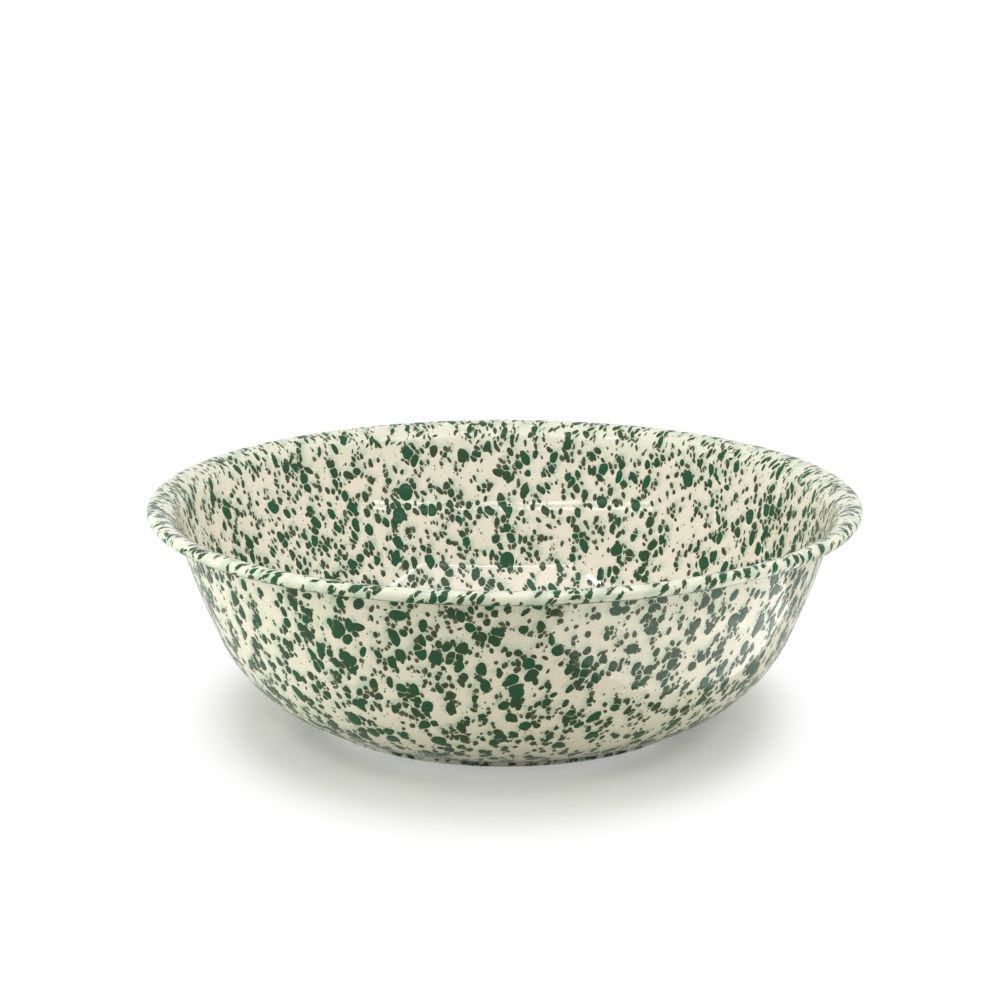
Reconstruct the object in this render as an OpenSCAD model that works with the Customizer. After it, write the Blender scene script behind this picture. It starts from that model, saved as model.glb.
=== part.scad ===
// Enamelled steel basin bowl: one pressed sheet with a rolled rim, under fired glass coats.
// The origin is at the centre of the plane that the bowl stands on. Sizes are outside sizes.

/* [Bowl] */
// Overall width across the rolled rim
rim_d = 356; // [340:1:380]
// Overall height
bowl_h = 110; // [100:1:120]

/* [Foot] */
// Outer width of the flat ring that the bowl stands on
foot_d = 187; // [175:1:198]
// Width of the flat ring
ring_w = 4; // [2:0.5:6]
// Rise of the crowned base at its centre
crown_h = 1; // [0.5:0.1:2]
// Radius of the bend between the crown and the ring
crown_bend_r = 12; // [8:0.5:20]
// Height of the pressed step between the ring and the wall
step_h = 3.4; // [2:0.1:4.4]
// Outside radius of the bend from the ring up into the step
step_bend_r = 3.6; // [3:0.1:5]
// Radius of the hollow between the step and the wall
step_hollow_r = 2.4; // [1.5:0.1:4]
// Slope of the wall where it leaves the step, in degrees
apron_slope = 19; // [15:1:23]

/* [Wall] */
// Outside radius of the rounded heel, as a share of how far the rim stands out past the foot
heel_share = 0.929; // [0.85:0.001:1]
// Outside radius of the nearly straight upper wall
wall_r = 430; // [380:10:600]

/* [Rim] */
// Radius of the hollow under the flared lip
flare_r = 11; // [8:0.5:14]
// Thickness of the rolled bead
bead_d = 6.6; // [5.6:0.1:8]
// How far the edge of the sheet is rolled round, in degrees
curl_turn = 275; // [240:5:280]

/* [Sheet and glass] */
// Thickness of the pressed steel sheet
steel_t = 0.8; // [0.6:0.05:1.1]
// Thickness of the dark ground coat on each face
ground_t = 0.12; // [0.1:0.01:0.2]
// Thickness of the cream cover coat on each face
cover_t = 0.2; // [0.15:0.01:0.3]

/* [Splatter] */
// Spacing of the larger drops
drop_pitch = 22; // [20:1:40]
// Half the width of the largest drop
drop_r_max = 4.4; // [2:0.1:4.5]
// Half the width of the smallest drop
drop_r_min = 1.2; // [0.8:0.1:1.8]
// Rise of a drop above the cover coat at its middle
drop_h = 0.15; // [0.08:0.01:0.2]

/* [Hidden] */

// Largest gap between a round stretch and the chords that draw it
chord_gap = 0.01;
// Facets of the preview's turned shapes
turn_fn = 180;

// Depths of the layers' faces, measured inwards from the outside face of the bowl
wall_t = steel_t + 2 * ground_t + 2 * cover_t;
outer_ground_face = cover_t;
outer_steel_face = cover_t + ground_t;
inner_steel_face = wall_t - cover_t - ground_t;
inner_ground_face = wall_t - cover_t;

// The outward normal of the profile where its tangent stands at angle a
function outward(a) = [sin(a), -cos(a)];

// Crown: a shallow dome whose bend ends where the flat ring starts
ring_r = foot_d / 2 - ring_w;
crown_slope = 2 * atan(crown_h / ring_r);
crown_r = ring_r / sin(crown_slope) - crown_bend_r;
crown_c = [0, crown_h - crown_r];
crown_bend_c = [ring_r, crown_bend_r];

// Step: two bends that rise by step_h and leave at the apron's slope
step_slope = acos((step_bend_r + step_hollow_r * cos(apron_slope) - step_h)
                  / (step_bend_r + step_hollow_r));
step_bend_c = [foot_d / 2, step_bend_r];
step_hollow_c = step_bend_c + (step_bend_r + step_hollow_r) * outward(step_slope);

// Heel: a round that leaves the step's hollow at the apron's slope
heel_r = heel_share * (rim_d - foot_d) / 2;
heel_c = step_hollow_c - (step_hollow_r + heel_r) * outward(apron_slope);

// Rim: the flare and the curl stand on one vertical line and meet at the rim's top
bead_r = bead_d / 2;
flare_c = [rim_d / 2 - bead_r, bowl_h - wall_t - flare_r];
curl_c = [rim_d / 2 - bead_r, bowl_h - bead_r];

// Wall: the arc that touches the heel from outside and the flare, by two crossing circles
to_heel = wall_r - heel_r;
to_flare = wall_r + flare_r;
heel_to_flare = flare_c - heel_c;
span = norm(heel_to_flare);
along = (span * span + to_heel * to_heel - to_flare * to_flare) / (2 * span);
across = sqrt(to_heel * to_heel - along * along);
span_dir = heel_to_flare / span;
wall_c = heel_c + along * span_dir + across * [-span_dir[1], span_dir[0]];
heel_end = slope_of(heel_c - wall_c);
wall_end = slope_of(flare_c - wall_c);

// The tangent angle whose outward normal points along v
function slope_of(v) = atan2(v[0], -v[1]);

// The profile's arcs from the axis to the rolled edge: centre, radius, first and last slope.
// The radius is that of the outside face, and negative where the centre lies outside the bowl.
arcs = [
  [crown_c, -crown_r, 0, -crown_slope, "crown"],
  [crown_bend_c, crown_bend_r, -crown_slope, 0, "crown bend"],
  [step_bend_c, step_bend_r, 0, step_slope, "step bend"],
  [step_hollow_c, -step_hollow_r, step_slope, apron_slope, "step hollow"],
  [heel_c, heel_r, apron_slope, heel_end, "heel"],
  [wall_c, wall_r, heel_end, wall_end, "wall"],
  [flare_c, -flare_r, wall_end, 0, "flare"],
  [curl_c, wall_t - bead_r, 0, -curl_turn, "curl"],
];

// The place of a named arc in that table
function place_of(name) = search([name], arcs, 1, 4)[0];
CROWN = place_of("crown");
STEP_BEND = place_of("step bend");
HEEL = place_of("heel");
WALL = place_of("wall");
FLARE = place_of("flare");
CURL = place_of("curl");

// The point of arc k at slope a, at a depth inwards from the outside face
function on_arc(k, a, depth) = arcs[k][0] + (arcs[k][1] - depth) * outward(a);

// How many chords draw arc k up to slope a, the same at every depth
function chords(k, a) =
  let (r = arcs[k][1], r_drawn = r > 0 ? r : wall_t - r)
  max(1, ceil(abs(a - arcs[k][2]) / (2 * acos(1 - chord_gap / r_drawn))));

// Points along arc k up to slope a. A tangent arc leaves out the point that it shares.
function arc_points(k, a, depth) =
  let (n = chords(k, a), first = (k == CROWN || k == STEP_BEND) ? 0 : 1)
  [for (i = [first : n]) on_arc(k, arcs[k][2] + (a - arcs[k][2]) * i / n, depth)];

// The profile at one depth, from the axis to slope a on arc last
function path(depth, last, a) = [
  for (k = [0 : last])
    each arc_points(k, k == last ? a : arcs[k][3], depth)
];

function reversed(list) = [for (i = [len(list) - 1 : -1 : 0]) list[i]];

// Slope of the flare's underside right above the inner side of the bead
crevice_slope = asin(bead_r / flare_r);
// Where the ground coat and the cover coat end, past the cut edge of the sheet
edge_r = bead_r - wall_t / 2;
ground_end = -curl_turn - ground_t / edge_r * 180 / PI;
cover_end = ground_end - cover_t / edge_r * 180 / PI;

// A layer of the wall between two depths, up to slope a on arc last
module layer(outer, inner, last, a) {
  rotate_extrude($fn = turn_fn)
    polygon(concat(path(outer, last, a), reversed(path(inner, last, a))));
}

// A layer whose end turns over the edge that lies between depths near and far
module capped_layer(near, far, edge_near, edge_far, last_slope, edge_slope) {
  rotate_extrude($fn = turn_fn)
    polygon(concat(
      path(near, CURL, last_slope),
      [on_arc(CURL, last_slope, edge_far), on_arc(CURL, edge_slope, edge_far)],
      [on_arc(CURL, edge_slope, edge_near)],
      reversed(path(far, CURL, edge_slope))
    ));
}

// Drops of splatter. Shares spread their places and sizes evenly, without a visible order.
place_share = 0.618034;
turn_share = 0.754878;
size_share = 0.569840;
size_bias = 1.7;
jitter_share = 0.18;
longer_share = 1.25;
wobble_share = 0.16;
row_step = 131;
drop_corners = 8;

function part_of(x) = x - floor(x);

// Length of arc k along the face at one depth
function arc_length(k, depth) =
  abs(arcs[k][1] - depth) * abs(arcs[k][3] - arcs[k][2]) * PI / 180;

// Length along the face from the start of arc first to the end of arc last
function face_length(first, last, depth) =
  arc_length(first, depth) + (first == last ? 0 : face_length(first + 1, last, depth));

// Arc and slope at a distance along the face from the start of arc k
function station(distance, k, last, depth) =
  let (whole = arc_length(k, depth))
  (distance <= whole || k == last)
    ? [k, arcs[k][2] + (arcs[k][3] - arcs[k][2]) * distance / whole]
    : station(distance - whole, k + 1, last, depth);

// The point there, raised inwards from the face by rise
function on_face(distance, first, last, depth, rise = 0) =
  let (s = station(distance, first, last, depth))
  on_arc(s[0], s[1], depth + rise);

// The larger of the face's two curvatures there
function bulge(distance, first, last, depth) =
  let (s = station(distance, first, last, depth), r = on_arc(s[0], s[1], depth)[0])
  max(1 / abs(arcs[s[0]][1]), abs(sin(s[1])) / r);

// A point of the profile turned about the axis
function turned(p, azimuth) = [p[0] * cos(azimuth), p[0] * sin(azimuth), p[1]];

// One drop: a thin lens whose rim lies on the face. On a bulging face its back is bowed out.
module drop(id, distance, azimuth, first, last, depth, rise) {
  half_w = drop_r_min + (drop_r_max - drop_r_min) * pow(part_of(id * size_share), size_bias);
  half_l = half_w * longer_share;
  lean = 360 * part_of(id * turn_share);
  r = on_face(distance, first, last, depth)[0];
  bow = rise < 0 ? -half_l * half_l * bulge(distance, first, last, depth) / 4 : 0;
  rim = [
    for (i = [0 : drop_corners - 1])
      let (
        turn = 360 * i / drop_corners,
        reach = 1 + wobble_share * sin(2 * turn + lean),
        along = distance + half_l * reach * cos(turn),
        round = half_w * reach * sin(turn) / r * 180 / PI
      )
      turned(on_face(along, first, last, depth), azimuth + round)
  ];
  back = turned(on_face(distance, first, last, depth, bow), azimuth);
  top = turned(on_face(distance, first, last, depth, bow + rise), azimuth);
  n = drop_corners;
  faces = [
    for (i = [0 : n - 1])
      each let (next = (i + 1) % n)
        rise < 0 ? [[n, i, next], [n + 1, next, i]] : [[n, next, i], [n + 1, i, next]]
  ];
  polyhedron(concat(rim, [back, top]), faces);
}

// Rows of drops on one face, from the start of arc first to the end of arc last
module drops(first, last, depth, rise) {
  margin = drop_r_max * longer_share * (1 + wobble_share) + drop_pitch * jitter_share;
  whole = face_length(first, last, depth) - 2 * margin;
  rows = floor(whole / drop_pitch);
  for (row = [0 : rows]) {
    distance = margin + whole * row / rows;
    r = on_face(distance, first, last, depth)[0];
    count = max(1, floor(2 * PI * r / drop_pitch));
    for (k = [0 : count - 1]) {
      id = row * row_step + k + 1;
      shift = drop_pitch * jitter_share * (2 * part_of(id * place_share) - 1);
      turn_shift = jitter_share * (2 * part_of(id * turn_share) - 1);
      azimuth = 360 * (k + part_of(row * place_share) + turn_shift) / count;
      drop(id, distance + shift, azimuth, first, last, depth, rise);
    }
  }
}

// The pressed sheet, with its edge rolled outwards, down and back under the lip
module steel_shell() {
  color("#8f959b")
    layer(outer_steel_face, inner_steel_face, CURL, -curl_turn);
}

// Dark grip coat on the upper face of the sheet and over the bead
module inner_ground_coat() {
  color("#23262b")
    layer(inner_steel_face, inner_ground_face, CURL, -curl_turn);
}

// Dark grip coat on the lower face, in the hollow of the bead and over the cut edge
module outer_ground_coat() {
  color("#2b2f35")
    capped_layer(outer_ground_face, outer_steel_face,
                 outer_steel_face, inner_ground_face, ground_end, -curl_turn);
}

// Cream glass inside the bowl, over the lip, round the bead and over its edge
module inner_cover_coat() {
  color("#efe5cf")
    capped_layer(wall_t, inner_ground_face,
                 inner_ground_face, outer_ground_face, cover_end, ground_end);
}

// Cream glass on the outside, from under the foot up to the crevice behind the bead
module outer_cover_coat() {
  color("#ebe1ca")
    layer(0, outer_ground_face, FLARE, crevice_slope);
}

// Green glass drops fused on the inner cover coat
module inner_splatter() {
  color("#1e5b3d") {
    drops(CROWN, CROWN, wall_t, drop_h);
    drops(HEEL, WALL, wall_t, drop_h);
  }
}

// Green glass drops fused on the outer cover coat
module outer_splatter() {
  color("#1b5338") {
    drops(CROWN, CROWN, 0, -drop_h);
    drops(HEEL, WALL, 0, -drop_h);
  }
}

steel_shell();
inner_ground_coat();
outer_ground_coat();
inner_cover_coat();
outer_cover_coat();
inner_splatter();
outer_splatter();
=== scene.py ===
import bpy
import numpy as np
from mathutils import Matrix


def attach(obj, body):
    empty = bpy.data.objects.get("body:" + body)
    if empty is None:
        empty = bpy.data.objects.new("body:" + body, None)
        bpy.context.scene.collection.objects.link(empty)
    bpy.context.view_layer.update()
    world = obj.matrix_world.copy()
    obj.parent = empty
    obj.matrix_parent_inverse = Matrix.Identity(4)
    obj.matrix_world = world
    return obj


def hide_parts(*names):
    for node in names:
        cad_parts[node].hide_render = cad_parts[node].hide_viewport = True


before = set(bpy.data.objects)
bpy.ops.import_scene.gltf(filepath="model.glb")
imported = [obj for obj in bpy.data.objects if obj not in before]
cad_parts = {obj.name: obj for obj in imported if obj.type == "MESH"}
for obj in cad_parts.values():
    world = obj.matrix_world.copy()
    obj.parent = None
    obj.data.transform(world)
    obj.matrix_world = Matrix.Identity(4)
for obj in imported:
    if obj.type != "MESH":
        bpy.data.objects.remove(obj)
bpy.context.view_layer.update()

# Pressed steel sheet
# The core of the bowl is one disc of low-carbon steel, pressed to shape, with its edge rolled
# outwards, down and back into a hollow bead. It is pickled before it is coated, so it is matt.

steel_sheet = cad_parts["steel_shell"]
pickled_steel = bpy.data.materials.new("pickled_steel")
pickled_steel.use_nodes = True
steel_nodes = pickled_steel.node_tree.nodes
steel_links = pickled_steel.node_tree.links
steel_shader = steel_nodes["Principled BSDF"]
steel_shader.inputs["Metallic"].default_value = 1.0
steel_place = steel_nodes.new("ShaderNodeTexCoord")
steel_grain = steel_nodes.new("ShaderNodeTexNoise")
steel_grain.inputs["Scale"].default_value = 900.0
steel_grain.inputs["Detail"].default_value = 5.0
steel_links.new(steel_place.outputs["Object"], steel_grain.inputs["Vector"])
steel_tone = steel_nodes.new("ShaderNodeValToRGB")
steel_tone.color_ramp.elements[0].position = 0.3
steel_tone.color_ramp.elements[0].color = (0.20, 0.205, 0.21, 1.0)
steel_tone.color_ramp.elements[1].position = 0.75
steel_tone.color_ramp.elements[1].color = (0.42, 0.43, 0.44, 1.0)
steel_links.new(steel_grain.outputs["Fac"], steel_tone.inputs["Fac"])
steel_links.new(steel_tone.outputs["Color"], steel_shader.inputs["Base Color"])
steel_matt = steel_nodes.new("ShaderNodeMapRange")
steel_matt.inputs["To Min"].default_value = 0.45
steel_matt.inputs["To Max"].default_value = 0.7
steel_links.new(steel_grain.outputs["Fac"], steel_matt.inputs["Value"])
steel_links.new(steel_matt.outputs["Result"], steel_shader.inputs["Roughness"])
steel_bump = steel_nodes.new("ShaderNodeBump")
steel_bump.inputs["Strength"].default_value = 0.4
steel_bump.inputs["Distance"].default_value = 0.00003
steel_links.new(steel_grain.outputs["Fac"], steel_bump.inputs["Height"])
steel_links.new(steel_bump.outputs["Normal"], steel_shader.inputs["Normal"])
for slot in steel_sheet.material_slots:
    slot.material = pickled_steel

# Ground coats
# Dark grip enamel, dipped and fired on both faces of the sheet before the cream goes on. The
# coats are hidden on a sound bowl, and a chip in the cream shows them as blue-black glass.

grip_glass = bpy.data.materials.new("grip_glass")
grip_glass.use_nodes = True
grip_nodes = grip_glass.node_tree.nodes
grip_links = grip_glass.node_tree.links
grip_shader = grip_nodes["Principled BSDF"]
grip_place = grip_nodes.new("ShaderNodeTexCoord")
grip_specks = grip_nodes.new("ShaderNodeTexNoise")
grip_specks.inputs["Scale"].default_value = 600.0
grip_specks.inputs["Detail"].default_value = 4.0
grip_links.new(grip_place.outputs["Object"], grip_specks.inputs["Vector"])
grip_tone = grip_nodes.new("ShaderNodeValToRGB")
grip_tone.color_ramp.elements[0].position = 0.35
grip_tone.color_ramp.elements[0].color = (0.012, 0.015, 0.024, 1.0)
grip_tone.color_ramp.elements[1].position = 0.8
grip_tone.color_ramp.elements[1].color = (0.045, 0.05, 0.062, 1.0)
grip_links.new(grip_specks.outputs["Fac"], grip_tone.inputs["Fac"])
grip_links.new(grip_tone.outputs["Color"], grip_shader.inputs["Base Color"])
grip_gloss = grip_nodes.new("ShaderNodeMapRange")
grip_gloss.inputs["To Min"].default_value = 0.2
grip_gloss.inputs["To Max"].default_value = 0.38
grip_links.new(grip_specks.outputs["Fac"], grip_gloss.inputs["Value"])
grip_links.new(grip_gloss.outputs["Result"], grip_shader.inputs["Roughness"])
grip_bump = grip_nodes.new("ShaderNodeBump")
grip_bump.inputs["Strength"].default_value = 0.3
grip_bump.inputs["Distance"].default_value = 0.00002
grip_links.new(grip_specks.outputs["Fac"], grip_bump.inputs["Height"])
grip_links.new(grip_bump.outputs["Normal"], grip_shader.inputs["Normal"])
for coat in ("inner_ground_coat", "outer_ground_coat"):
    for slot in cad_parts[coat].material_slots:
        slot.material = grip_glass

# Inner cover coat
# Cream glass on the inside of the bowl, over the flared lip and right round the rolled bead.
# It is poured in, spun thin and fired, so its skin is glossy and very slightly uneven.

rim_d, bowl_h, foot_d = 0.356, 0.110, 0.187
ring_w, crown_h, crown_bend_r = 0.004, 0.001, 0.012
step_h, step_bend_r, step_hollow_r = 0.0034, 0.0036, 0.0024
apron_slope = np.radians(19.0)
heel_share, wall_r, flare_r = 0.929, 0.430, 0.011
bead_d, curl_turn = 0.0066, np.radians(275.0)
steel_t, ground_t, cover_t = 0.0008, 0.00012, 0.0002
sheet_t = steel_t + 2 * ground_t + 2 * cover_t

# The cream's skin lies this far inside the bowl's full sizes, to which the drops rise. Faces
# that show keep within fine_gap of their arcs, with chords under fine_chord, and hidden faces
# keep within hidden_gap. All are turned in the same number of steps.
skin_drop = 0.00006
fine_gap, fine_chord, hidden_gap = 0.000012, 0.0025, 0.00004
turns_around = 448


def outward(a):
    """The outward normal of the profile where its tangent slopes at a: (sin a, -cos a)."""
    return np.stack([np.sin(a), -np.cos(a)], axis=-1)


def profile_arcs():
    """The profile's tangent arcs from the axis to the rolled edge, as rows of centre r, centre z,
    radius of the outside face, first slope and last slope: crown, the ring's inner bend, step
    bend, step hollow, heel, wall, flare and curl. A radius below zero turns the other way. The
    wall's centre is where circles about the heel's and the flare's centres cross, so the wall
    touches both arcs."""
    ring_r = foot_d / 2 - ring_w
    crown_slope = 2 * np.arctan(crown_h / ring_r)
    crown_r = ring_r / np.sin(crown_slope) - crown_bend_r
    step_slope = np.arccos((step_bend_r + step_hollow_r * np.cos(apron_slope) - step_h)
                           / (step_bend_r + step_hollow_r))
    heel_r = heel_share * (rim_d - foot_d) / 2
    bead_r = bead_d / 2
    step_bend_c = np.array([foot_d / 2, step_bend_r])
    step_hollow_c = step_bend_c + (step_bend_r + step_hollow_r) * outward(step_slope)
    heel_c = step_hollow_c - (step_hollow_r + heel_r) * outward(apron_slope)
    flare_c = np.array([rim_d / 2 - bead_r, bowl_h - sheet_t - flare_r])
    to_heel, to_flare = wall_r - heel_r, wall_r + flare_r
    span = np.linalg.norm(flare_c - heel_c)
    ahead = (flare_c - heel_c) / span
    along = (span ** 2 + to_heel ** 2 - to_flare ** 2) / (2 * span)
    across = np.sqrt(to_heel ** 2 - along ** 2)
    wall_c = heel_c + along * ahead + across * np.array([-ahead[1], ahead[0]])
    heel_end = np.arctan2(*((heel_c - wall_c) * (1, -1)))
    wall_end = np.arctan2(*((flare_c - wall_c) * (1, -1)))
    return np.array([
        [0.0, crown_h - crown_r, -crown_r, 0.0, -crown_slope],
        [ring_r, crown_bend_r, crown_bend_r, -crown_slope, 0.0],
        [*step_bend_c, step_bend_r, 0.0, step_slope],
        [*step_hollow_c, -step_hollow_r, step_slope, apron_slope],
        [*heel_c, heel_r, apron_slope, heel_end],
        [*wall_c, wall_r, heel_end, wall_end],
        [*flare_c, -flare_r, wall_end, 0.0],
        [rim_d / 2 - bead_r, bowl_h - bead_r, sheet_t - bead_r, 0.0, -curl_turn],
    ])


arcs = profile_arcs()
CROWN, STEP_BEND, FLARE, CURL = 0, 2, 6, 7
edge_r = bead_d / 2 - sheet_t / 2
ground_end = curl_turn + ground_t / edge_r
cover_end = ground_end + cover_t / edge_r
crevice_slope = np.arcsin(bead_d / 2 / flare_r)


def profile(depth, last, end_slope, chord_gap, longest=1.0):
    """Points (r, z) and outward normals of the face at a depth inside the outside face, from the
    axis to end_slope on arc last: centre plus (radius - depth) times the outward normal. Each arc
    has as many chords as keep them within chord_gap of it and under longest. It starts where the
    arc before it ends, except for the step bend, which starts across the flat foot ring."""
    points, normals = [], []
    for k in range(last + 1):
        c_r, c_z, radius, first, final = arcs[k]
        final = end_slope if k == last else final
        drawn = abs(radius - depth)
        chords = max(abs(final - first) / (2 * np.arccos(1 - chord_gap / drawn)),
                     abs(final - first) * drawn / longest, 2)
        slopes = np.linspace(first, final, int(np.ceil(chords)) + 1)
        slopes = slopes if k in (CROWN, STEP_BEND) else slopes[1:]
        points.append(np.array([c_r, c_z]) + (radius - depth) * outward(slopes))
        normals.append(outward(slopes))
    points, normals = np.concatenate(points), np.concatenate(normals)
    points[0, 0] = 0.0
    return points, normals


def turned_solid(name, loop):
    """A closed solid of revolution. loop is the profile's outline from the axis, round the layer
    and back to the axis: each point turns to (r cos t, r sin t, z) at turns_around angles, and
    the two points on the axis become one vertex each."""
    t = np.arange(turns_around) * 2 * np.pi / turns_around
    ring = loop[1:-1]
    places = np.empty((len(ring), turns_around, 3))
    places[:, :, 0] = ring[:, :1] * np.cos(t)
    places[:, :, 1] = ring[:, :1] * np.sin(t)
    places[:, :, 2] = ring[:, 1:]
    top, bottom = places.size // 3, places.size // 3 + 1
    vertices = np.concatenate([places.reshape(-1, 3), [[0, 0, loop[0, 1]], [0, 0, loop[-1, 1]]]])
    i = np.arange(turns_around)
    j = (i + 1) % turns_around
    row = (np.arange(len(ring) - 1) * turns_around)[:, None]
    quads = np.stack([row + i, row + j, row + turns_around + j, row + turns_around + i], axis=-1)
    end = (len(ring) - 1) * turns_around
    fans = np.concatenate([np.stack([np.full_like(i, top), j, i], axis=-1),
                           np.stack([np.full_like(i, bottom), end + i, end + j], axis=-1)])
    mesh = bpy.data.meshes.new(name)
    mesh.from_pydata(vertices, [], quads.reshape(-1, 4).tolist() + fans.tolist())
    mesh.polygons.foreach_set("use_smooth", np.ones(len(mesh.polygons), dtype=bool))
    mesh.update()
    piece = bpy.data.objects.new(name, mesh)
    bpy.context.scene.collection.objects.link(piece)
    return piece


inner_face, inner_normals = profile(sheet_t - skin_drop, CURL, -ground_end, fine_gap, fine_chord)
inner_back, _ = profile(sheet_t - cover_t, CURL, -ground_end, hidden_gap)

# The coat goes over the sheet's cut edge: a cap of its own thickness past the ground coat.
curl = arcs[CURL]
cap = curl[:2] + (curl[2] - np.array([[sheet_t - skin_drop], [cover_t]])) * outward(
    np.array([-cover_end, -cover_end]))
cap_back = curl[:2] + (curl[2] - cover_t) * outward(-ground_end)
inner_loop = np.concatenate([inner_back, [cap_back], cap[::-1], inner_face[::-1]])
inner_coat = turned_solid("inner_cream_coat", inner_loop)

cream_glass = bpy.data.materials.new("cream_glass")
cream_glass.use_nodes = True
cream_nodes = cream_glass.node_tree.nodes
cream_links = cream_glass.node_tree.links
cream_shader = cream_nodes["Principled BSDF"]
cream_place = cream_nodes.new("ShaderNodeTexCoord")
cream_cloud = cream_nodes.new("ShaderNodeTexNoise")
cream_cloud.inputs["Scale"].default_value = 90.0
cream_cloud.inputs["Detail"].default_value = 3.0
cream_links.new(cream_place.outputs["Object"], cream_cloud.inputs["Vector"])
cream_tone = cream_nodes.new("ShaderNodeValToRGB")
cream_tone.color_ramp.elements[0].position = 0.35
cream_tone.color_ramp.elements[0].color = (0.775, 0.736, 0.583, 1.0)
cream_tone.color_ramp.elements[1].position = 0.68
cream_tone.color_ramp.elements[1].color = (0.835, 0.736, 0.612, 1.0)
cream_links.new(cream_cloud.outputs["Fac"], cream_tone.inputs["Fac"])
# The attribute holds the green the cream takes up from the drops, which is its own colour, and
# above one it holds painted shade: the dark green under the bead.
cream_bleed = cream_nodes.new("ShaderNodeAttribute")
cream_bleed.attribute_name = "green_bleed"
cream_tint = cream_nodes.new("ShaderNodeMix")
cream_tint.data_type = "RGBA"
cream_tint.inputs["B"].default_value = (0.50, 0.575, 0.44, 1.0)
cream_links.new(cream_bleed.outputs["Fac"], cream_tint.inputs["Factor"])
cream_links.new(cream_tone.outputs["Color"], cream_tint.inputs["A"])
# Painted shade: above one, the attribute mixes the cream towards the dark green below, the shade
# under the bead.
cream_pool = cream_nodes.new("ShaderNodeMapRange")
cream_pool.inputs["From Min"].default_value = 1.0
cream_pool.inputs["From Max"].default_value = 2.0
cream_links.new(cream_bleed.outputs["Fac"], cream_pool.inputs["Value"])
cream_edge = cream_nodes.new("ShaderNodeMix")
cream_edge.data_type = "RGBA"
cream_edge.inputs["B"].default_value = (0.10, 0.19, 0.13, 1.0)
cream_links.new(cream_pool.outputs["Result"], cream_edge.inputs["Factor"])
cream_links.new(cream_tint.outputs["Result"], cream_edge.inputs["A"])
cream_links.new(cream_edge.outputs["Result"], cream_shader.inputs["Base Color"])
cream_gloss = cream_nodes.new("ShaderNodeMapRange")
cream_gloss.inputs["To Min"].default_value = 0.01
cream_gloss.inputs["To Max"].default_value = 0.035
cream_links.new(cream_cloud.outputs["Fac"], cream_gloss.inputs["Value"])
cream_links.new(cream_gloss.outputs["Result"], cream_shader.inputs["Roughness"])
cream_peel = cream_nodes.new("ShaderNodeTexNoise")
cream_peel.inputs["Scale"].default_value = 260.0
cream_peel.inputs["Detail"].default_value = 2.0
cream_links.new(cream_place.outputs["Object"], cream_peel.inputs["Vector"])
cream_bump = cream_nodes.new("ShaderNodeBump")
cream_bump.inputs["Strength"].default_value = 0.5
cream_bump.inputs["Distance"].default_value = 0.000015
cream_links.new(cream_peel.outputs["Fac"], cream_bump.inputs["Height"])
cream_links.new(cream_bump.outputs["Normal"], cream_shader.inputs["Normal"])
inner_coat.data.materials.append(cream_glass)
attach(inner_coat, "root")
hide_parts("inner_cover_coat")

# Outer cover coat
# The same cream glass on the outside, from under the foot up to the crevice behind the bead.
# It is dipped and drained, then fired with the inside.

outer_face, _ = profile(skin_drop, FLARE, crevice_slope, fine_gap, fine_chord)
outer_back, _ = profile(cover_t, FLARE, crevice_slope, hidden_gap)
outer_coat = turned_solid("outer_cream_coat", np.concatenate([outer_face, outer_back[::-1]]))
outer_coat.data.materials.append(cream_glass)
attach(outer_coat, "root")
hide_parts("outer_cover_coat")

# Inner splatter
# Drops of green glass slip flung at the cream before the last firing. They land thickest inside
# the bowl, run a little down the wall, and fuse on as thin lenses. Drops that meet keep a hair
# of cream between them or flow into one.

chance = np.random.default_rng(14)
smallest_half, largest_half = 0.0002, 0.0048
hair, sink = 0.0002, 0.00002
table_gap, least_turn_r = 0.0000005, 0.004


def along_face(points):
    """Distances along a face from its first point: the sums of its chords."""
    return np.concatenate([[0.0], np.cumsum(np.hypot(*np.diff(points, axis=0).T))])


def face_table(depth, inward, last, end_slope):
    """The face as a table by distance from the axis along it: r, z and the normal that points
    away from the glass, at the points of a profile within table_gap of its arcs."""
    points, normals = profile(depth, last, end_slope, table_gap)
    return along_face(points), points, -normals if inward else normals


def on_face(table, s, t, rise):
    """Points at distance s along the face and azimuth t, lifted by rise along the face's normal:
    the table's r, z and normal, interpolated, and then turned about the axis by t."""
    distance, points, normals = table
    r = np.interp(s, distance, points[:, 0]) + rise * np.interp(s, distance, normals[:, 0])
    z = np.interp(s, distance, points[:, 1]) + rise * np.interp(s, distance, normals[:, 1])
    return np.stack([r * np.cos(t), r * np.sin(t), z], axis=-1)


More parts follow.
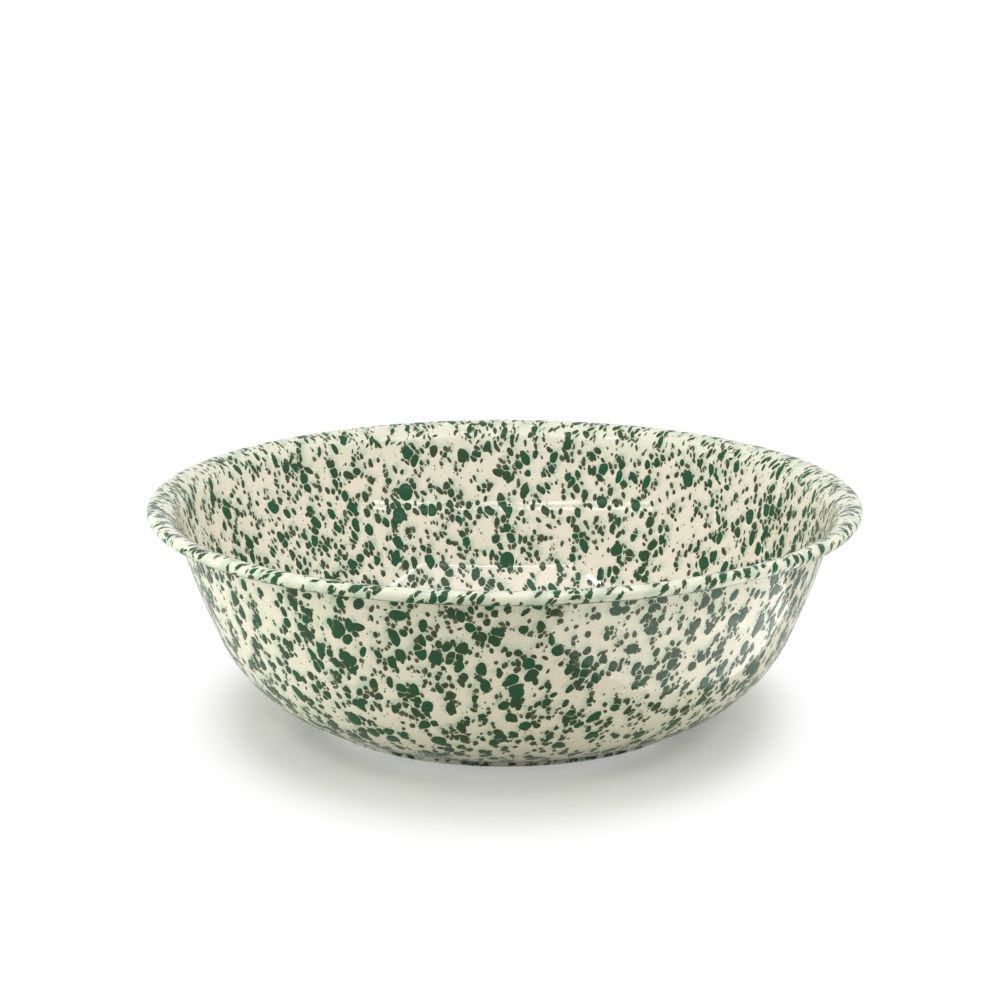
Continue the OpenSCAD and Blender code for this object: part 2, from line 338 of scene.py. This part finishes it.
def scatter(table, s0, s1, density, per_seed, spread, kinds):
    """Drop centres between distances s0 and s1, at density drops per square metre. Seeds are laid
    evenly by area, by steps of two irrational shares and a little chance. Each throws about
    per_seed drops along its own slanting streak: offsets of bell-curve chance, longer along
    the streak than across it. kinds lists share, half size and spread of sizes. Near the axis
    a drop turns as if it lay least_turn_r from it. Returns s, azimuth and half size."""
    step_s, step_t, looseness = 0.7548776662, 0.5698402910, 0.35
    streak, breadth, usual_lean, lean_spread = 1.5 * spread, 0.55 * spread, 0.25, 0.8
    distance, points, _ = table
    at = np.linspace(s0, s1, 2000)
    r = np.interp(at, distance, points[:, 0])
    area = np.concatenate([[0.0], np.cumsum(np.diff(at) * (r[1:] + r[:-1]) / 2)])
    count = int(density * 2 * np.pi * area[-1])
    thrown = chance.geometric(1 / per_seed, count)
    thrown = thrown[: int(np.searchsorted(np.cumsum(thrown), count)) + 1]
    seed = np.arange(len(thrown))
    loose = chance.normal(size=(2, len(seed))) * looseness / np.sqrt(len(seed))
    seed_s = np.interp(((seed * step_s + loose[0]) % 1.0) * area[-1], area, at)
    seed_t = ((seed * step_t + loose[1]) % 1.0) * 2 * np.pi
    owner = np.repeat(seed, thrown)[:count]
    follows = np.concatenate([[False], owner[1:] == owner[:-1]])
    lean = chance.normal(usual_lean, lean_spread, len(seed))[owner]
    along, across = chance.normal(size=(2, len(owner))) * [[streak], [breadth]] * follows
    s = seed_s[owner] + along * np.cos(lean) - across * np.sin(lean)
    shares, centres, widths = np.array(kinds).T
    kind = np.searchsorted(np.cumsum(shares)[:-1], chance.random(len(s)))
    half = centres[kind] * np.exp(widths[kind] * chance.normal(size=len(s)))
    r_here = np.maximum(np.interp(s, distance, points[:, 0]), least_turn_r)
    t = seed_t[owner] + (along * np.sin(lean) + across * np.cos(lean)) / r_here
    kept = np.flatnonzero((s > s0) & (s < s1))
    kept = kept[np.argsort(-half[kept])]
    return s[kept], t[kept] % (2 * np.pi), np.clip(half[kept], smallest_half, largest_half)


def outlines(table, s, t, half, corners, stretch, slant, flow):
    """Outlines of drops as reach(theta) in each drop's own plane: an ellipse drawn out along the
    wall, leaning by about slant, times one plus four small waves. Where two drops meet, both stop
    at the line of equal power between their circles, less half a hair's gap, or else, for the
    share flow of the pairs, run into one. Only drops whose half size is over pressing push a
    neighbour back, and it keeps at least the share kept_in of its own half size. Returns
    offsets along and across the wall, as arrays of drops by corners."""
    lean_spread, stretch_spread, most_stretch = 0.4, 0.22, 4.0
    pressing, near_enough, kept_in, least_facing = 0.0006, 1.2, 0.15, 0.05
    n = len(s)
    theta = np.arange(corners) * 2 * np.pi / corners + chance.random((n, 1)) * 2 * np.pi
    lean = chance.normal(slant, lean_spread, (n, 1))
    aspect = stretch * np.exp(stretch_spread * chance.normal(size=(n, 1)))
    aspect = np.clip(aspect, 1.0, most_stretch)
    u, v = np.cos(theta - lean) / np.sqrt(aspect), np.sin(theta - lean) * np.sqrt(aspect)
    reach = half[:, None] / np.hypot(u, v)
    for waves, size in ((2, 0.06), (3, 0.06), (4, 0.035), (5, 0.03)):
        reach = reach * (1 + size * chance.normal(size=(n, 1))
                         * np.cos(waves * theta + chance.random((n, 1)) * 2 * np.pi))
    distance, points, _ = table
    r_here = np.maximum(np.interp(s, distance, points[:, 0]), least_turn_r)
    flows = chance.random(n)
    wide = np.flatnonzero(half > pressing)
    for block in np.array_split(np.arange(n), max(1, n // 400)):
        ds = s[wide][None] - s[block][:, None]
        dt = (t[wide][None] - t[block][:, None] + np.pi) % (2 * np.pi) - np.pi
        gap = np.hypot(ds, dt * r_here[block][:, None])
        near = (gap > 0) & (gap < near_enough * (half[wide][None] + half[block][:, None]))
        a, b = np.nonzero(near & ((flows[wide][None] + flows[block][:, None]) % 1.0 > flow))
        own, other = block[a], wide[b]
        d, angle = gap[a, b], np.arctan2(dt[a, b] * r_here[own], ds[a, b])
        stop = (d ** 2 + half[own] ** 2 - half[other] ** 2) / (2 * d) - hair / 2
        stop = np.maximum(stop, kept_in * half[own])
        facing = np.cos(theta[own] - angle[:, None])
        limit = stop[:, None] / np.maximum(facing, least_facing)
        limit = np.where(facing > least_facing, limit, np.inf)
        np.minimum.at(reach, own, limit)
    return reach * np.cos(theta), reach * np.sin(theta)


def lens_mesh(name, table, s, t, half, along, across, rings, height, clear):
    """One mesh of closed lenses. Each has its outline sunk into the coat, rings of the outline
    shrunk towards its centre and lifted to a rounded top, and a centre point above and below. A
    corner lies at s + along and t + across / r, or on the flat crown at the plane's polar
    angles. A lens is lower in proportion where its half size is under full_half. glass_depth
    is how thick its glass looks: half size in millimetres, times chance, less at the edge. With
    clear, a lens that would reach the floor is left out."""
    crown_reach, axis_r, full_half, least_height, floor_gap = 0.088, 0.001, 0.0012, 0.45, 0.00002
    edge_depth = 0.3
    distance, points, _ = table
    n, corners = along.shape
    shrink = np.array([share for share, _ in rings])
    lift = np.array([level for _, level in rings])
    u = along[:, None] * shrink[None, :, None]
    v = across[:, None] * shrink[None, :, None]
    here = s[:, None, None]
    r_here = np.maximum(np.interp(s, distance, points[:, 0]), axis_r)[:, None, None]
    flat = here + np.abs(u) < crown_reach
    s_at = np.where(flat, np.hypot(here + u, v), here + u)
    t_at = t[:, None, None] + np.where(flat, np.arctan2(v, here + u), v / r_here)
    tall = height * np.clip(half / full_half, least_height, 1.0)
    rise = -sink + (tall + sink)[:, None, None] * lift[None, :, None] + np.zeros_like(u)
    ring_places = on_face(table, s_at, t_at, rise)
    top = on_face(table, s, t, tall)
    base = on_face(table, s, t, np.full(n, -sink))
    if clear:
        fits = ring_places[..., 2].min(axis=(1, 2)) > floor_gap
        ring_places, top, base, half = ring_places[fits], top[fits], base[fits], half[fits]
        n = len(top)
    layers = len(rings)
    each = layers * corners + 2
    vertices = np.concatenate([ring_places.reshape(n, -1, 3), top[:, None], base[:, None]],
                              axis=1)
    i = np.arange(corners)
    j = (i + 1) % corners
    faces = []
    for k in range(layers - 1):
        low, high = k * corners, (k + 1) * corners
        faces += [np.stack([low + i, low + j, high + j], axis=-1),
                  np.stack([low + i, high + j, high + i], axis=-1)]
    last = (layers - 1) * corners
    faces += [np.stack([last + i, last + j, np.full_like(i, each - 2)], axis=-1),
              np.stack([j, i, np.full_like(i, each - 1)], axis=-1)]
    faces = np.concatenate(faces)
    inward = table[2][0, 1] > 0
    if not inward:
        faces = faces[:, ::-1]
    faces = (faces[None] + (np.arange(n) * each)[:, None, None]).reshape(-1, 3)
    mesh = bpy.data.meshes.new(name)
    mesh.vertices.add(n * each)
    mesh.vertices.foreach_set("co", vertices.ravel())
    mesh.loops.add(len(faces) * 3)
    mesh.loops.foreach_set("vertex_index", faces.ravel().astype(np.int32))
    mesh.polygons.add(len(faces))
    mesh.polygons.foreach_set("loop_start", np.arange(len(faces), dtype=np.int32) * 3)
    mesh.polygons.foreach_set("use_smooth", np.ones(len(faces), dtype=bool))
    thick = np.concatenate([np.repeat(lift, corners), [1.0, 0.0]])
    thick = thick * (1 - edge_depth) + edge_depth
    own = half * 1000 * chance.uniform(0.6, 1.35, n)
    glass = mesh.attributes.new("glass_depth", "FLOAT", "POINT")
    glass.data.foreach_set("value", np.outer(own, thick).ravel().astype(np.float32))
    mesh.update(calc_edges=True)
    mesh.validate()
    return mesh


green_glass = bpy.data.materials.new("green_glass")
green_glass.use_nodes = True
green_nodes = green_glass.node_tree.nodes
green_links = green_glass.node_tree.links
green_shader = green_nodes["Principled BSDF"]
green_shader.inputs["Specular IOR Level"].default_value = 0.26
green_place = green_nodes.new("ShaderNodeTexCoord")
green_depth = green_nodes.new("ShaderNodeAttribute")
green_depth.attribute_name = "glass_depth"
green_cloud = green_nodes.new("ShaderNodeTexNoise")
green_cloud.inputs["Scale"].default_value = 420.0
green_cloud.inputs["Detail"].default_value = 3.0
green_links.new(green_place.outputs["Object"], green_cloud.inputs["Vector"])
green_mix = green_nodes.new("ShaderNodeMath")
green_mix.operation = "MULTIPLY_ADD"
green_mix.inputs[1].default_value = 2.2
green_links.new(green_cloud.outputs["Fac"], green_mix.inputs[0])
green_links.new(green_depth.outputs["Fac"], green_mix.inputs[2])
green_span = green_nodes.new("ShaderNodeMapRange")
green_span.inputs["From Min"].default_value = 1.4
green_span.inputs["From Max"].default_value = 4.2
green_links.new(green_mix.outputs["Value"], green_span.inputs["Value"])
green_tone = green_nodes.new("ShaderNodeValToRGB")
green_tone.color_ramp.elements[0].position = 0.0
green_tone.color_ramp.elements[0].color = (0.15, 0.14, 0.07, 1.0)
green_tone.color_ramp.elements[1].position = 1.0
green_tone.color_ramp.elements[1].color = (0.008, 0.077, 0.028, 1.0)
for at, tone in ((0.14, (0.110, 0.104, 0.050, 1.0)), (0.38, (0.040, 0.056, 0.022, 1.0)),
                 (0.70, (0.017, 0.062, 0.021, 1.0))):
    green_tone.color_ramp.elements.new(at).color = tone
green_links.new(green_span.outputs["Result"], green_tone.inputs["Fac"])
green_links.new(green_tone.outputs["Color"], green_shader.inputs["Base Color"])
green_gloss = green_nodes.new("ShaderNodeMapRange")
green_gloss.inputs["To Min"].default_value = 0.03
green_gloss.inputs["To Max"].default_value = 0.10
green_links.new(green_cloud.outputs["Fac"], green_gloss.inputs["Value"])
green_links.new(green_gloss.outputs["Result"], green_shader.inputs["Roughness"])
green_bump = green_nodes.new("ShaderNodeBump")
green_bump.inputs["Strength"].default_value = 0.5
green_bump.inputs["Distance"].default_value = 0.00004
green_links.new(green_cloud.outputs["Fac"], green_bump.inputs["Height"])
green_links.new(green_bump.outputs["Normal"], green_shader.inputs["Normal"])


def splatter(name, node, table, drops, stretch, slant, flow=0.36, more_rings=(), clear=False):
    """Three pieces of drops, by size, so that the small ones have few corners. The drops'
    outlines are found together, so that neighbours of all sizes keep clear. A ring is its
    share of the outline's reach and of the lens's height. more_rings are added where the face
    under a drop is tightly curved. kinds lists name, least and largest half size, corners and
    rings."""
    s, t, half = drops
    kinds = (("large", 0.0019, 1.0, 16, ((1.03, 0.0), (0.88, 0.8), (0.45, 0.97))),
             ("middling", 0.0008, 0.0019, 10, ((1.06, 0.0), (0.8, 0.85))),
             ("fine", 0.0, 0.0008, 6, ((1.12, 0.0), (0.7, 0.9))))
    for kind, low, high, corners, rings in kinds:
        along, across = outlines(table, s, t, half, corners, stretch, slant, flow)
        own = (half >= low) & (half < high)
        rings = sorted((*rings, *more_rings), reverse=True)
        mesh = lens_mesh(f"{name}_{kind}", table, s[own], t[own], half[own], along[own],
                         across[own], rings, skin_drop, clear)
        mesh.materials.append(green_glass)
        piece = bpy.data.objects.new(mesh.name, mesh)
        bpy.context.scene.collection.objects.link(piece)
        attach(piece, "root")
        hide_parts(node)


def bleed(coat, face, first_row, step, drops, base=0.0, pool=0.0):
    """How much green the cream takes up from the drops around it, kept per corner of the coat in
    its bleed-and-shade attribute: the drops' areas, summed on the coat's own grid of rows and
    turns, spread by a bell curve of width reach along and round the wall, times strength, less a
    little, and at most one. first_row and step give the coat's row for each point of its face.
    base is the least share there, and the last argument is painted shade under the bead, which
    brings the share to two."""
    reach, strength, clean, axis_r = 0.0013, 1.35, 0.08, 0.002
    s, t, half = drops
    rows = along_face(face)
    cell = np.gradient(rows) * 2 * np.pi * np.maximum(face[:, 0], axis_r) / turns_around
    field = np.zeros((len(rows), turns_around))
    row = np.clip(np.searchsorted(rows, s), 0, len(rows) - 1)
    column = (t / (2 * np.pi) * turns_around).astype(int) % turns_around
    np.add.at(field, (row, column), np.pi * half ** 2 / cell[row])
    away = np.exp(-((rows[:, None] - rows[None]) / reach) ** 2 / 2) * np.gradient(rows)[None]
    field = away / away.sum(axis=1, keepdims=True) @ field
    waves = np.fft.rfft(field, axis=1)
    wide = reach / np.maximum(face[:, :1], axis_r)
    waves *= np.exp(-(np.arange(waves.shape[1]) * wide) ** 2 / 2)
    field = np.fft.irfft(waves, turns_around)
    field = np.clip(strength * field - clean, base, 1) * (1 - pool) + 2 * pool
    values = np.zeros(len(coat.data.vertices), dtype=np.float32)
    start = (first_row + step * np.arange(1, len(rows))) * turns_around
    values[start[:, None] + np.arange(turns_around)] = field[1:]
    coat.data.attributes.new("green_bleed", "FLOAT", "POINT").data.foreach_set("value", values)


heel_z, lip_z = 0.022, 0.0985
short_of_edge = 0.05
inner_table = face_table(sheet_t - skin_drop, True, CURL, -cover_end + short_of_edge)
lip_at = inner_table[0][np.argmax(inner_table[1][:, 1] > lip_z)]
heel_at = inner_table[0][np.argmax(inner_table[1][:, 1] > heel_z)]
inner_kinds = [(0.16, 0.0023, 0.30), (0.48, 0.00132, 0.25), (0.36, 0.00048, 0.34)]
floor_drops = scatter(inner_table, 0.0, heel_at, density=90000, per_seed=1.8, spread=0.0026,
                      kinds=inner_kinds)
splatter("floor_drops", "inner_splatter", inner_table, floor_drops, stretch=1.4, slant=0.3)
wall_drops = scatter(inner_table, heel_at, lip_at, density=92000, per_seed=1.8, spread=0.0026,
                     kinds=inner_kinds)
splatter("wall_drops", "inner_splatter", inner_table, wall_drops, stretch=1.8, slant=0.3)

# Splatter on the rim
# The same drops on the flared lip, drawn out into streaks where the slip ran off the edge, and
# larger ones wrapped aslant round the bead. The bead's underside has a painted shade of dark
# green.

bead_at = inner_table[0][np.argmax(inner_table[1][:, 1])]
lip_kinds = [(0.10, 0.0020, 0.25), (0.52, 0.00115, 0.25), (0.38, 0.0005, 0.3)]
lip_drops = scatter(inner_table, lip_at, bead_at, density=120000, per_seed=1.5, spread=0.002,
                    kinds=lip_kinds)
splatter("lip_drops", "inner_splatter", inner_table, lip_drops, stretch=3.0, slant=-0.15,
         more_rings=((0.62, 0.93), (0.25, 0.99)))
bead_kinds = [(0.46, 0.0025, 0.2), (0.30, 0.0014, 0.25), (0.24, 0.0005, 0.3)]
bead_end = inner_table[0][-1] - 0.002
bead_drops = scatter(inner_table, bead_at, bead_end, density=54000, per_seed=1.3, spread=0.002,
                     kinds=bead_kinds)
splatter("bead_drops", "inner_splatter", inner_table, bead_drops, stretch=3.6, slant=-0.6,
         more_rings=((0.66, 0.93), (0.25, 0.99)))

# Thin slip between the drops: a wash that grows with height towards the rim, and on the bead
# pale bands that lean as its drops do, where three waves round the rim add up. Painted shade,
# a dark green, goes where the bead faces down.
wash_z, wash_rise, wash_share = 0.095, 0.012, 0.38
bands_z, bands_rise, band_lean = 0.1075, 0.0015, 3.9
turn = np.arange(turns_around) * 2 * np.pi / turns_around
waves = sum(np.cos(n * (turn + band_lean * along_face(inner_face)[:, None]) + n)
            for n in (41, 59, 83))
highest = np.maximum.accumulate(inner_face[:, 1:])
on_bead = np.clip((highest - bands_z) / bands_rise, 0, 1)
bands = on_bead * np.clip(0.9 * waves - 0.4, 0, 0.9)
wash = np.clip((highest - wash_z) / wash_rise, 0, 1) * wash_share + bands
# Painted shade: the bead's underside, where the face looks down, is painted dark green.
faces_down = np.clip((inner_normals[:, 1:] - 0.6) / 0.25, 0, 1)
inner_drops = np.concatenate([floor_drops, wall_drops, lip_drops, bead_drops], axis=1)
bleed(inner_coat, inner_face, len(inner_loop) - 2, -1, inner_drops, np.clip(wash, 0, 1),
      faces_down)

# Outer splatter
# Drops on the outside, coarser than the inner ones and up to the crevice behind the bead. The
# bowl stood on its ring while it was splattered, and the ring's own contact line stays bare.

outer_table = face_table(skin_drop, False, FLARE, crevice_slope)
outer_kinds = [(0.17, 0.0023, 0.30), (0.43, 0.00128, 0.28), (0.40, 0.0005, 0.36)]
haunch_at = outer_table[0][np.argmax(outer_table[1][:, 1] > heel_z)]
foot_drops = scatter(outer_table, 0.0, haunch_at, density=98000, per_seed=2.6, spread=0.0025,
                     kinds=outer_kinds)
splatter("foot_drops", "outer_splatter", outer_table, foot_drops, stretch=1.5, slant=0.2,
         flow=0.48, clear=True)
side_drops = scatter(outer_table, haunch_at, outer_table[0][-1], density=98000, per_seed=2.6,
                     spread=0.0025, kinds=outer_kinds)
splatter("side_drops", "outer_splatter", outer_table, side_drops, stretch=1.6, slant=0.2,
         flow=0.48, clear=True)
outer_drops = np.concatenate([foot_drops, side_drops], axis=1)
ring_z = 0.0004
off_ring = np.interp(outer_drops[0], outer_table[0], outer_table[1][:, 1]) > ring_z
bleed(outer_coat, outer_face, -1, 1, outer_drops[:, off_ring])

# Floor and backdrop
# A white sweep with a painted glow. The camera sees it brighter than it lights the bowl, and more
# so away from the foot, so it keeps part of the bowl's soft shadow and turns plain white beyond
# it. The glow is painted light that lightens the shadow and draws its fade. The glaze mirrors
# half of that white, and the white room as it is.

floor_mesh = bpy.data.meshes.new("floor")
floor_mesh.from_pydata([(-6, -6, 0), (6, -6, 0), (6, 6, 0), (-6, 6, 0)], [], [(0, 1, 2, 3)])
floor = bpy.data.objects.new("floor", floor_mesh)
bpy.context.scene.collection.objects.link(floor)
floor_white = bpy.data.materials.new("floor_white")
floor_white.use_nodes = True
floor_nodes = floor_white.node_tree.nodes
floor_links = floor_white.node_tree.links
floor_shader = floor_nodes["Principled BSDF"]
floor_shader.inputs["Base Color"].default_value = (0.62, 0.62, 0.55, 1.0)
floor_shader.inputs["Roughness"].default_value = 0.9
floor_shader.inputs["Specular IOR Level"].default_value = 0.0
floor_place = floor_nodes.new("ShaderNodeTexCoord")
# The oval's centre lies a little to the left, so the painted glow lightens the shadow more on the
# right.
floor_oval = floor_nodes.new("ShaderNodeVectorMath")
floor_oval.operation = "MULTIPLY_ADD"
floor_oval.inputs[1].default_value = (1.03, 0.8, 1.0)
floor_oval.inputs[2].default_value = (0.0025, 0.0, 0.0)
floor_links.new(floor_place.outputs["Object"], floor_oval.inputs[0])
floor_away = floor_nodes.new("ShaderNodeVectorMath")
floor_away.operation = "LENGTH"
floor_links.new(floor_oval.outputs["Vector"], floor_away.inputs[0])
# Painted light: the glow's share by distance is highest where the foot meets the floor, dips just
# beyond it, then rises to plain white.
floor_glow = floor_nodes.new("ShaderNodeValToRGB")
floor_glow.color_ramp.interpolation = "EASE"
floor_glow.color_ramp.elements[0].position = 0.085
floor_glow.color_ramp.elements[0].color = (0.37, 0.37, 0.37, 1.0)
floor_glow.color_ramp.elements[1].position = 0.166
floor_glow.color_ramp.elements[1].color = (1.0, 1.0, 1.0, 1.0)
for at, share in ((0.104, 0.19), (0.122, 0.25)):
    floor_glow.color_ramp.elements.new(at).color = (share, share, share, 1.0)
floor_links.new(floor_away.outputs["Value"], floor_glow.inputs["Fac"])
floor_path = floor_nodes.new("ShaderNodeLightPath")
floor_mirrored = floor_nodes.new("ShaderNodeMath")
floor_mirrored.operation = "MULTIPLY"
floor_mirrored.inputs[1].default_value = 0.5
floor_links.new(floor_path.outputs["Is Glossy Ray"], floor_mirrored.inputs[0])
floor_seen = floor_nodes.new("ShaderNodeMath")
floor_seen.operation = "MAXIMUM"
floor_links.new(floor_path.outputs["Is Camera Ray"], floor_seen.inputs[0])
floor_links.new(floor_mirrored.outputs["Value"], floor_seen.inputs[1])
floor_through = floor_nodes.new("ShaderNodeMath")
floor_through.operation = "MAXIMUM"
floor_links.new(floor_seen.outputs["Value"], floor_through.inputs[0])
floor_links.new(floor_path.outputs["Is Transmission Ray"], floor_through.inputs[1])
floor_share = floor_nodes.new("ShaderNodeMath")
floor_share.operation = "MULTIPLY"
floor_links.new(floor_glow.outputs["Color"], floor_share.inputs[0])
floor_links.new(floor_through.outputs["Value"], floor_share.inputs[1])
floor_plain = floor_nodes.new("ShaderNodeEmission")
floor_plain.inputs["Strength"].default_value = 1.0
floor_mix = floor_nodes.new("ShaderNodeMixShader")
floor_links.new(floor_share.outputs["Value"], floor_mix.inputs["Fac"])
floor_links.new(floor_shader.outputs["BSDF"], floor_mix.inputs[1])
floor_links.new(floor_plain.outputs["Emission"], floor_mix.inputs[2])
floor_links.new(floor_mix.outputs["Shader"], floor_nodes["Material Output"].inputs["Surface"])
floor_mesh.materials.append(floor_white)

room = bpy.data.worlds.new("white_room")
bpy.context.scene.world = room
room.use_nodes = True
room_nodes = room.node_tree.nodes
room_links = room.node_tree.links
room_light = room_nodes["Background"]
room_light.inputs["Color"].default_value = (1.0, 0.99, 0.97, 1.0)
room_light.inputs["Strength"].default_value = 0.27
room_white = room_nodes.new("ShaderNodeBackground")
room_white.inputs["Color"].default_value = (1.0, 1.0, 1.0, 1.0)
room_white.inputs["Strength"].default_value = 1.0
room_path = room_nodes.new("ShaderNodeLightPath")
room_seen = room_nodes.new("ShaderNodeMath")
room_seen.operation = "MAXIMUM"
room_links.new(room_path.outputs["Is Camera Ray"], room_seen.inputs[0])
room_links.new(room_path.outputs["Is Glossy Ray"], room_seen.inputs[1])
room_through = room_nodes.new("ShaderNodeMath")
room_through.operation = "MAXIMUM"
room_links.new(room_seen.outputs["Value"], room_through.inputs[0])
room_links.new(room_path.outputs["Is Transmission Ray"], room_through.inputs[1])
room_mix = room_nodes.new("ShaderNodeMixShader")
room_links.new(room_through.outputs["Value"], room_mix.inputs["Fac"])
room_links.new(room_light.outputs["Background"], room_mix.inputs[1])
room_links.new(room_white.outputs["Background"], room_mix.inputs[2])
room_links.new(room_mix.outputs["Shader"], room_nodes["World Output"].inputs["Surface"])

# Lamps
# A broad soft box overhead, reaching towards the camera, with two bright edges and a hot
# corner, and two low arcs of strips that draw a line in the back wall. Dim boxes fill the
# rest, and cards on the floor at the right give the outside its sheen there.


def soft_box(name, place, aim, across, width, depth, glow, lights=True, mirrored=True,
             tone=(1.0, 1.0, 1.0)):
    """A rectangular lamp at place, facing aim, with its width along across. Its power is glow
    times pi times its area, so glow is how bright its face looks. It lights the bowl, or only
    shows in the glaze, or does both, and then it is a little bluer. tone is its colour
    otherwise."""
    lamp = bpy.data.lights.new(name, "AREA")
    lamp.shape, lamp.size, lamp.size_y = "RECTANGLE", width, depth
    lamp.energy = glow * np.pi * width * depth
    lamp.color = (0.975, 1.0, 1.045) if lights and mirrored else tone
    box = bpy.data.objects.new(name, lamp)
    bpy.context.scene.collection.objects.link(box)
    back = np.subtract(place, aim) / np.linalg.norm(np.subtract(place, aim))
    side = np.array(across, float) - np.dot(across, back) * back
    side /= np.linalg.norm(side)
    axes = np.stack([side, np.cross(back, side), back, place], axis=1)
    box.matrix_world = Matrix([*axes.tolist(), [0, 0, 0, 1]])
    box.visible_camera = False
    box.visible_diffuse, box.visible_glossy = lights, mirrored


soft_box("overhead_box", (0.11, -0.75, 1.6), (0.11, -0.75, 0.0), (1, 0, 0), 1.98, 0.8, 1.7)
soft_box("front_edge", (0.11, -1.16, 1.6), (0.11, -1.16, 0.0), (1, 0, 0), 1.98, 0.03, 18.0)
soft_box("left_edge", (1.12, -0.75, 1.6), (1.12, -0.75, 0.0), (0, 1, 0), 0.8, 0.05, 10.0)
soft_box("hot_corner", (-0.9, -0.62, 1.6), (-0.9, -0.62, 0.0), (0, 1, 0), 0.3, 0.12, 24.0)
soft_box("rear_box", (0.11, 0.0, 1.6), (0.11, 0.0, 0.0), (1, 0, 0), 1.98, 0.7, 1.2,
         mirrored=False)
soft_box("front_box", (0.0, -2.2, 1.2), (0.0, 0.0, 0.1), (1, 0, 0), 2.4, 1.0, 0.45,
         mirrored=False)
for side, wall_glow, low_glow in ((-1, 2.3, 9.4), (1, 2.1, 3.4)):
    soft_box("wall_box", (1.5 * side, -0.2, 0.95), (0.0, 0.0, 0.1), (0, 1, 0), 2.0, 1.2,
             wall_glow, mirrored=False)
    soft_box("low_box", (1.25 * side, -0.1, 0.12), (0.0, -0.1, 0.12), (0, 1, 0), 1.2, 0.2,
             low_glow, mirrored=False, tone=(0.82, 1.0, 0.98))

# The cards overlap, so the sheen fades in from the foot outwards.
card_out, card_along = np.array([0.819, -0.574, 0.0]), np.array([0.574, 0.819, 0.0])
card_far, card_z = 0.5, 0.002
for near in (0.16, 0.18, 0.20, 0.22):
    middle = card_out * (near + card_far) / 2 + (0, 0, card_z)
    soft_box("floor_card", middle, middle + (0, 0, 1), card_along, 0.31, card_far - near, 1.7,
             lights=False)

# Two arcs of strips, round the bowl's axis and highest at the front.
arc_r, arc_rise = 2.46, 0.63
bend = np.radians(np.linspace(-64.0, 57.0, 8))
for rise in (0.76, 0.796):
    strip_ends = np.stack([arc_r * np.sin(bend), -arc_r * np.cos(bend),
                           rise + arc_rise * np.cos(bend)], axis=1)
    for start, end in zip(strip_ends[:-1], strip_ends[1:]):
        soft_box("low_strip", (start + end) / 2, (0.0, 0.14, 0.066), end - start,
                 np.linalg.norm(end - start), 0.006, 14.0)

# Camera
# The photograph's viewing angle, from the front and a little above. It was fitted to the
# outlines of the rim, the wall and the foot.

eye = bpy.data.cameras.new("eye")
eye.sensor_width = 36.0
eye.lens = 111.26
eye.shift_x = -0.0047
camera = bpy.data.objects.new("eye", eye)
bpy.context.scene.collection.objects.link(camera)
camera.location = (0.0, -1.5, 0.4862)
camera.rotation_euler = (np.radians(90.0 - 14.145), 0.0, 0.0)
bpy.context.scene.camera = camera
bpy.context.scene.view_settings.view_transform = "Standard"
